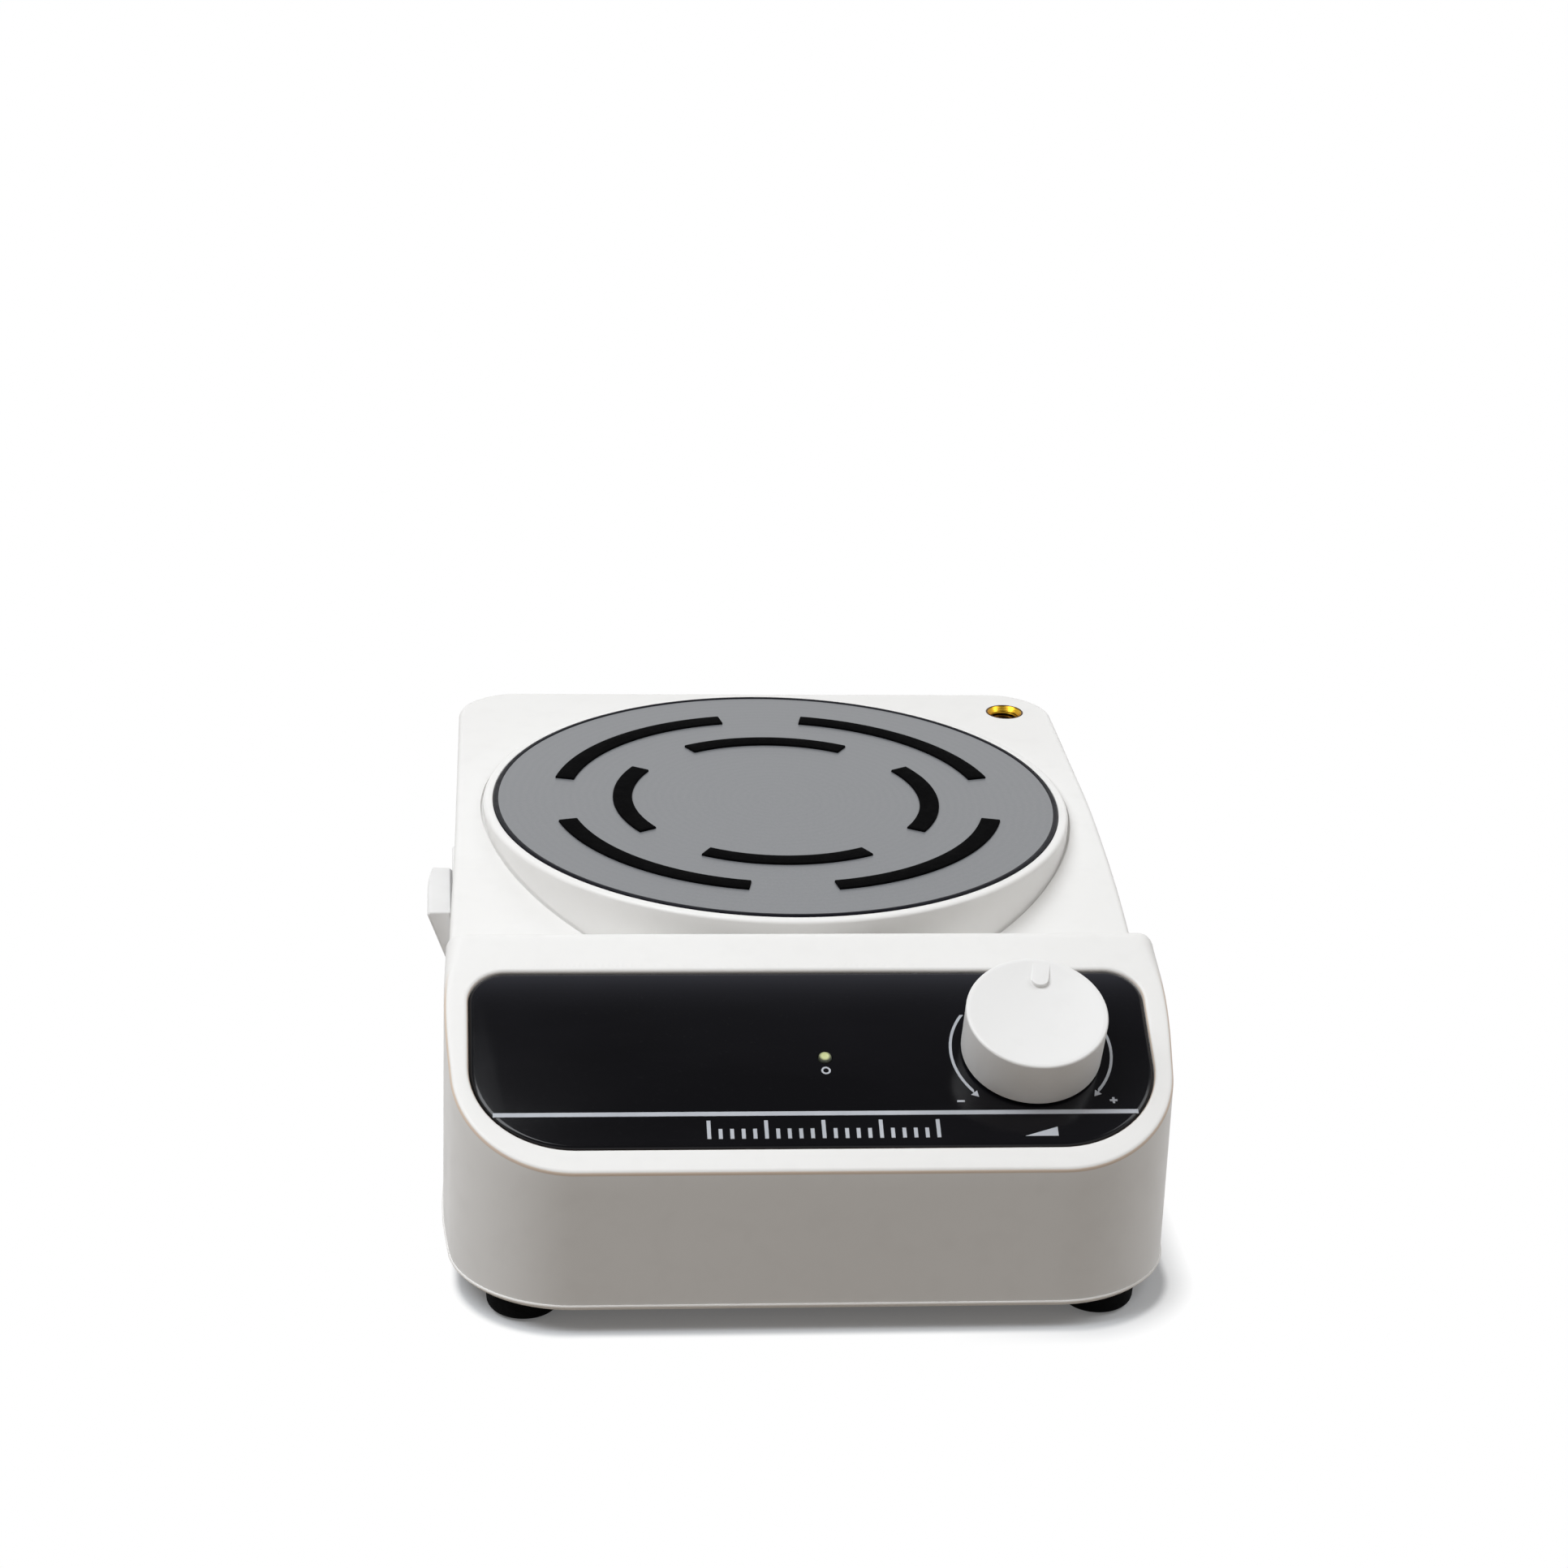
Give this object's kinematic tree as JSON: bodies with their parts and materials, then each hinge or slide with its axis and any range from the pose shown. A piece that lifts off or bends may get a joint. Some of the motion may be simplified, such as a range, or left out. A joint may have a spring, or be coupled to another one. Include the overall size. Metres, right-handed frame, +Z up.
{
  "type": "magnetic stirrer",
  "caption": "Bench magnetic stirrer: white case with a round grey stir plate in a raised collar, a sloped black control panel with a speed knob, and a brass rod socket.",
  "frame": {"origin": "centre of the footprint box on the table, under the feet", "axes": "+X to the right seen from the front, +Y towards the rear, +Z up"},
  "size_m": [0.1598, 0.2056, 0.0678],
  "materials": {
    "white_shell": "satin moulded",
    "base_shell": "satin moulded",
    "white_control": "satin moulded",
    "foot_rubber": "matte",
    "grip_rubber": "matte",
    "plate_grey": "gloss coat",
    "gasket_black": "satin",
    "panel_black": "gloss",
    "print_grey": "screen print",
    "lamp_green": "diffuse lens",
    "brass": "turned",
    "steel": "plain",
    "bracket_steel": "zinc plated",
    "motor_steel": "drawn",
    "cap_plastic": "moulded",
    "bronze": "sintered",
    "ferrite": "sintered",
    "magnet": "nickel plated",
    "winding": "enamelled",
    "holder_plastic": "moulded",
    "board_green": "solder mask",
    "sleeve_blue": "sleeve",
    "part_black": "moulded",
    "sink_alu": "extruded",
    "lead_red": "insulation",
    "lead_black": "insulation",
    "lead_blue": "insulation",
    "pot_green": "moulded"
  },
  "bodies": {
    "housing": {"top_cover": "white_shell", "base_cover": "base_shell", "feet": "foot_rubber", "foot_screws": "steel", "stir_plate": "plate_grey", "plate_gasket": "gasket_black", "grip_arcs_outer": "grip_rubber", "grip_arcs_inner": "grip_rubber", "rod_socket": "brass", "socket_screw": "steel", "control_panel": "panel_black", "panel_marks": "print_grey", "lamp": "lamp_green", "pot_body": "pot_green", "pot_bushing": "steel", "pot_washer": "steel", "pot_nut": "steel", "switch_frame": "white_control", "switch_terminals": "brass", "motor_can": "motor_steel", "motor_end_cap": "cap_plastic", "motor_bearings": "bronze", "field_magnets": "ferrite", "motor_bracket": "bracket_steel", "bracket_screws": "steel", "motor_screws": "steel", "control_board": "board_green", "board_screws": "steel", "board_capacitors": "sleeve_blue", "drive_transistor": "part_black", "heat_sink": "sink_alu", "wire_connectors": "cap_plastic", "inlet_body": "part_black", "inlet_contacts": "brass", "inlet_nut": "steel", "lead_supply": "lead_red", "lead_return": "lead_black", "lead_switched": "lead_red", "leads_motor": "lead_blue"},
    "rotor": {"motor_shaft": "steel", "armature": "winding", "magnet_holder": "holder_plastic", "stir_magnets": "magnet", "holder_set_screw": "steel"},
    "dial": {"knob": "white_control", "pot_shaft": "steel"},
    "rocker": {"switch_rocker": "white_control"}
  },
  "joints": [
    {"name": "rotor_spin", "type": "hinge", "parent": "housing", "child": "rotor", "pos_m": [0.00185, 0.02935, 0.045], "axis": [0, 0, 1], "continuous": true},
    {"name": "dial_turn", "type": "hinge", "parent": "housing", "child": "dial", "pos_m": [0.04845, -0.07379, 0.0506], "axis": [0, -0.4067, 0.9135], "range_deg": [-130.5, 149.5]},
    {"name": "rocker_tilt", "type": "hinge", "parent": "housing", "child": "rocker", "pos_m": [-0.07265, 0.01735, 0.0343], "axis": [0, 1, 0], "range_deg": [0, 21.16]}
  ]
}
